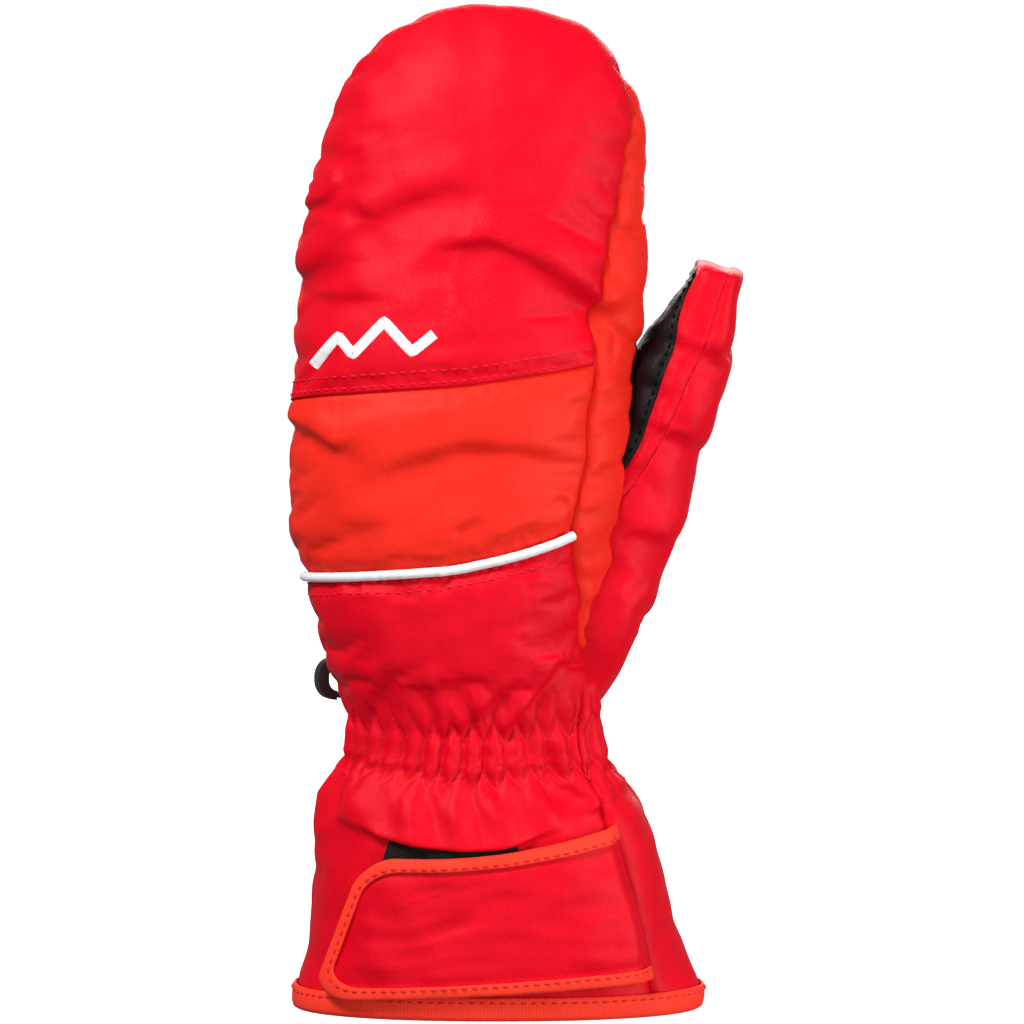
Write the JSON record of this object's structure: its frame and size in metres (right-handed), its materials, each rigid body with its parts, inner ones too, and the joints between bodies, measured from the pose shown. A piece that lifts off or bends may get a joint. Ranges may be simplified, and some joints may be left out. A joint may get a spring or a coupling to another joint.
{
  "type": "ski mitten",
  "caption": "Padded ski mitten for the left hand with a gathered wrist, a hook-and-loop cuff flap, a grip palm and a small clip for pairing.",
  "frame": {"origin": "middle of the whole mitten's outline, on the level of the cuff's hem that it stands on", "axes": "+Z from the cuff to the fingertips, +X towards the thumb, -Y out of the back of the hand"},
  "size_m": [0.1296, 0.0736, 0.287],
  "materials": {
    "red_fabric": "matt",
    "orange_fabric": "matt",
    "orange_tape": "matt",
    "white_cord": "matt",
    "black_grip": "satin",
    "black_loop": "matt",
    "black_hook": "matt",
    "black_lining": "matt",
    "elastic": "matt",
    "wadding": "matt",
    "membrane": "satin",
    "fleece": "matt",
    "label": "satin",
    "webbing": "matt",
    "clip_plastic": "satin"
  },
  "bodies": {
    "mitten": {"finger_back_panel": "red_fabric", "knuckle_back_panel": "orange_fabric", "cuff_back_panel": "red_fabric", "cuff_palm_panel": "red_fabric", "finger_gusset": "orange_fabric", "palm_panel": "black_grip", "palm_grip_patch": "black_grip", "wrist_elastic": "elastic", "padding_back": "wadding", "padding_palm": "wadding", "waterproof_insert": "membrane", "fleece_liner": "fleece", "care_label": "label", "hem_binding": "orange_tape", "seam_piping": "white_cord", "cuff_loop_patch": "black_loop", "clip_tab": "webbing"},
    "thumb": {"thumb_back_panel": "red_fabric", "thumb_grip_panel": "black_grip", "thumb_side_strip": "red_fabric", "thumb_padding": "wadding", "thumb_insert": "membrane", "thumb_liner": "fleece"},
    "closure_flap": {"flap_panel": "red_fabric", "flap_backing": "black_lining", "flap_binding": "orange_tape", "flap_hook_patch": "black_hook"},
    "clip": {"clip_hook": "clip_plastic"},
    "clip_gate": {"clip_gate": "clip_plastic"}
  },
  "joints": [
    {"name": "thumb_spread", "type": "hinge", "parent": "mitten", "child": "thumb", "pos_m": [0.02498, 0.01347, 0.101], "axis": [0, 1, 0], "range_deg": [0, 15], "stiffness_Nm_per_rad": 0.2, "springref_deg": -5.73},
    {"name": "flap_open", "type": "hinge", "parent": "mitten", "child": "closure_flap", "pos_m": [0.03547, -0.02258, 0.0325], "axis": [-0.2425, 0.0176, 0.97], "range_deg": [0, 140]},
    {"name": "clip_swivel", "type": "hinge", "parent": "mitten", "child": "clip", "pos_m": [-0.03052, 0.03147, 0.0922], "axis": [0, 0, 1], "range_deg": [-115, 0]},
    {"name": "clip_gate_press", "type": "hinge", "parent": "clip", "child": "clip_gate", "pos_m": [-0.03992, 0.02668, 0.0873], "axis": [-0.454, 0.891, 0], "range_deg": [0, 25], "stiffness_Nm_per_rad": 0.005, "springref_deg": -11.46}
  ]
}
